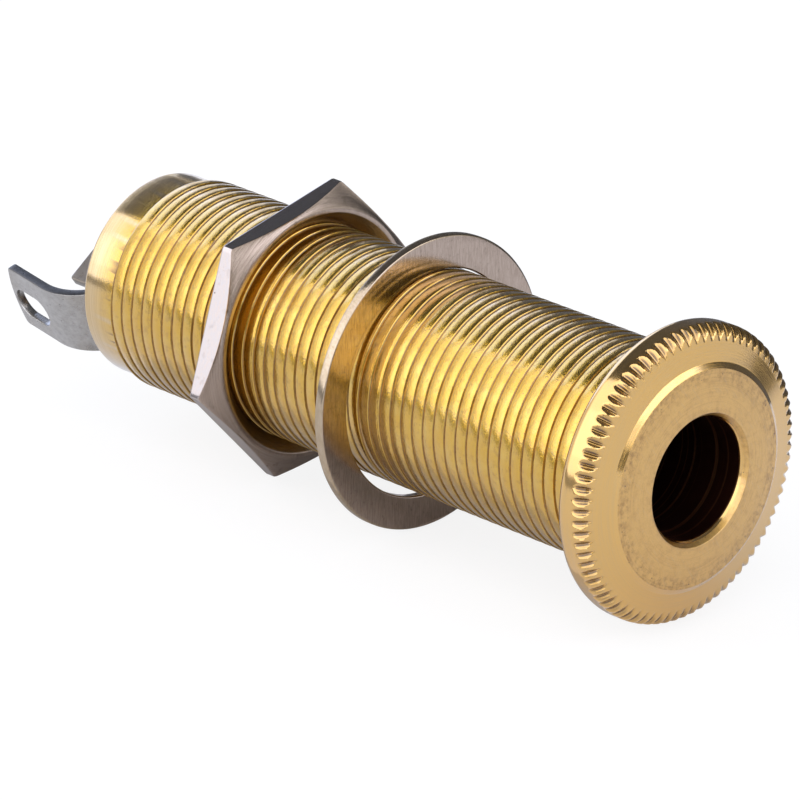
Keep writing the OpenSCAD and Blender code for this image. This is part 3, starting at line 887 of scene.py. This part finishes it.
# lamps face the jack's axis: bearings in degrees run from the front (-Y) upwards, slants are places along the
# axis, as a share of the distance from it
lightSize = {
    "away": 0.80, "cardAway": 0.70, "cool": (0.60, 0.88, 1.70), "clear": (1.0, 1.03, 1.22),
    # low and high bearing, level
    "front": [(-3, 14, 1.05), (14, 50, 1.35), (50, 77, 1.0)],
    # low and high slant, share of the level
    "columns": [(-1.75, -1.45, 0.15), (-1.45, -1.15, 0.42), (-1.15, 1.70, 1.0)],
    # low and high bearing, slants where the full and the weak part end
    "top": [(79, 97, -1.27, -1.10), (97, 117, -1.24, -1.085), (117, 137, -1.21, -1.07),
            (137, 157, -1.17, -1.05)],
    "topFar": (-6.0, 1.0), "topNear": 0.40,
    # low and high bearing, low and high slant, level
    "right": [(40, 77, 1.72, 2.8, 0.9), (78, 113, 1.0, 2.8, 1.7), (113, 131, 0.92, 2.4, 1.8),
              (131, 148, 0.66, 2.2, 1.8)],
}
# cards, in metres or as bearing with low and high slant
cardSize = {
    "top": [(77, -1.12, 0.95), (97, -1.10, 0.95), (117, -1.085, 0.86), (137, -1.065, 0.60),
            (161, -1.04, 0.55)],
    "side": [(-4, 1.75, 4.0), (14, 1.75, 4.0), (34, 1.75, 4.0)],
    # rows of low x, high x and y, lying just over the floor; the rear card also rises
    "rear": [(-0.07, 0.025, 0.045), (-0.63, 0.33, 0.60)], "rearHigh": 0.22,
    "under": [(-0.040, -0.001, -0.008), (-0.040, -0.001, 0.008)],
    "strip": [(-1.1, 1.0, -0.80), (-0.13, 0.08, -0.064)],
    "lift": 0.0002, "darkTone": 0.12, "stripTone": 0.30, "underShadowTone": 0.55,
}


def standAt(spot, right, up, back):
    return Matrix.Translation(spot) @ Matrix((right, up, back)).transposed().to_4x4()


def softBox(name, low, high, slantLow, slantHigh, level, tone):
    middle, half = math.radians((low + high) / 2), math.radians((high - low) / 2)
    away = lightSize["away"]
    out, right = Vector((0, -math.cos(middle), math.sin(middle))), Vector((1, 0, 0))
    data = bpy.data.lights.new(name, "AREA")
    data.shape = "RECTANGLE"
    data.size, data.size_y = (slantHigh - slantLow) * away, 2 * away * math.tan(half)
    data.color = tone
    data.energy = level * math.pi * data.size * data.size_y
    lamp = bpy.data.objects.new(name, data)
    bpy.context.scene.collection.objects.link(lamp)
    spot = out * away + right * away * (slantLow + slantHigh) / 2
    lamp.matrix_world = standAt(spot, right, out.cross(right), out)
    lamp.visible_camera = False


# cards that only the metal mirrors
def darkCard(name, rows, tone):
    card = makeSheet(name, rows, plainMaterial(name, tone))
    card.visible_camera = False
    card.visible_diffuse = False
    card.visible_shadow = False


def cardArc(name, edges, tone):
    away, rows = lightSize["cardAway"], []
    for bearing, slantLow, slantHigh in edges:
        y, z = -away * math.cos(math.radians(bearing)), away * math.sin(math.radians(bearing))
        rows.append([(away * slantLow, y, z), (away * slantHigh, y, z)])
    darkCard(name, rows, tone)


def makeLight():
    s = lightSize
    for i, (low, high, level) in enumerate(s["front"]):
        for j, (slantLow, slantHigh, share) in enumerate(s["columns"]):
            softBox("front%d%d" % (i, j), low, high, slantLow, slantHigh, level * share, s["clear"])
    far, level = s["topFar"]
    for i, (low, high, slantMid, slantHigh) in enumerate(s["top"]):
        softBox("topFar%d" % i, low, high, far, slantMid, level, s["cool"])
        softBox("topNear%d" % i, low, high, slantMid, slantHigh, s["topNear"], s["cool"])
    for i, (low, high, slantLow, slantHigh, level) in enumerate(s["right"]):
        softBox("right%d" % i, low, high, slantLow, slantHigh, level, s["clear"])


def makeCards():
    c = cardSize
    cardArc("topCard", c["top"], c["darkTone"])
    cardArc("sideCard", c["side"], c["darkTone"])
    z = cadLow.z + c["lift"]
    rear, under, strip = ([[(low, y, z), (high, y, z)] for low, high, y in c[name]]
                          for name in ("rear", "under", "strip"))
    rear.append([(x, y, c["rearHigh"]) for x, y, _ in rear[-1]])
    darkCard("rearCard", rear, c["darkTone"])
    # painted shadow: a grey sheet under the barrel, seen only in the metal's reflections, stands in for the
    # jack's shadow on the floor there
    darkCard("underShadowCard", under, c["underShadowTone"])
    darkCard("frontStrip", strip, c["stripTone"])


makeFloor()
makeRoom()
makeLight()
makeCards()
print("stage set")


# Camera at the photograph's place, with its lens given for a square picture; the picture size is not set here
viewSpot = {
    "spot": (220.98, -235.53, 137.11), "back": (0.65983, -0.64698, 0.38212), "lens": 309.44, "sensor": 36.0,
}


def makeCamera():
    data = bpy.data.cameras.new("viewer")
    data.lens = viewSpot["lens"]
    data.sensor_width = viewSpot["sensor"]
    data.clip_start, data.clip_end = 0.01, 20.0
    viewer = bpy.data.objects.new("viewer", data)
    bpy.context.scene.collection.objects.link(viewer)
    back = Vector(viewSpot["back"]).normalized()
    right = Vector((0, 0, 1)).cross(back).normalized()
    viewer.matrix_world = standAt(Vector(viewSpot["spot"]) * mm, right, back.cross(right), back)
    bpy.context.scene.camera = viewer


makeCamera()
bpy.context.scene.view_settings.view_transform = "Standard"
print("scene ready")
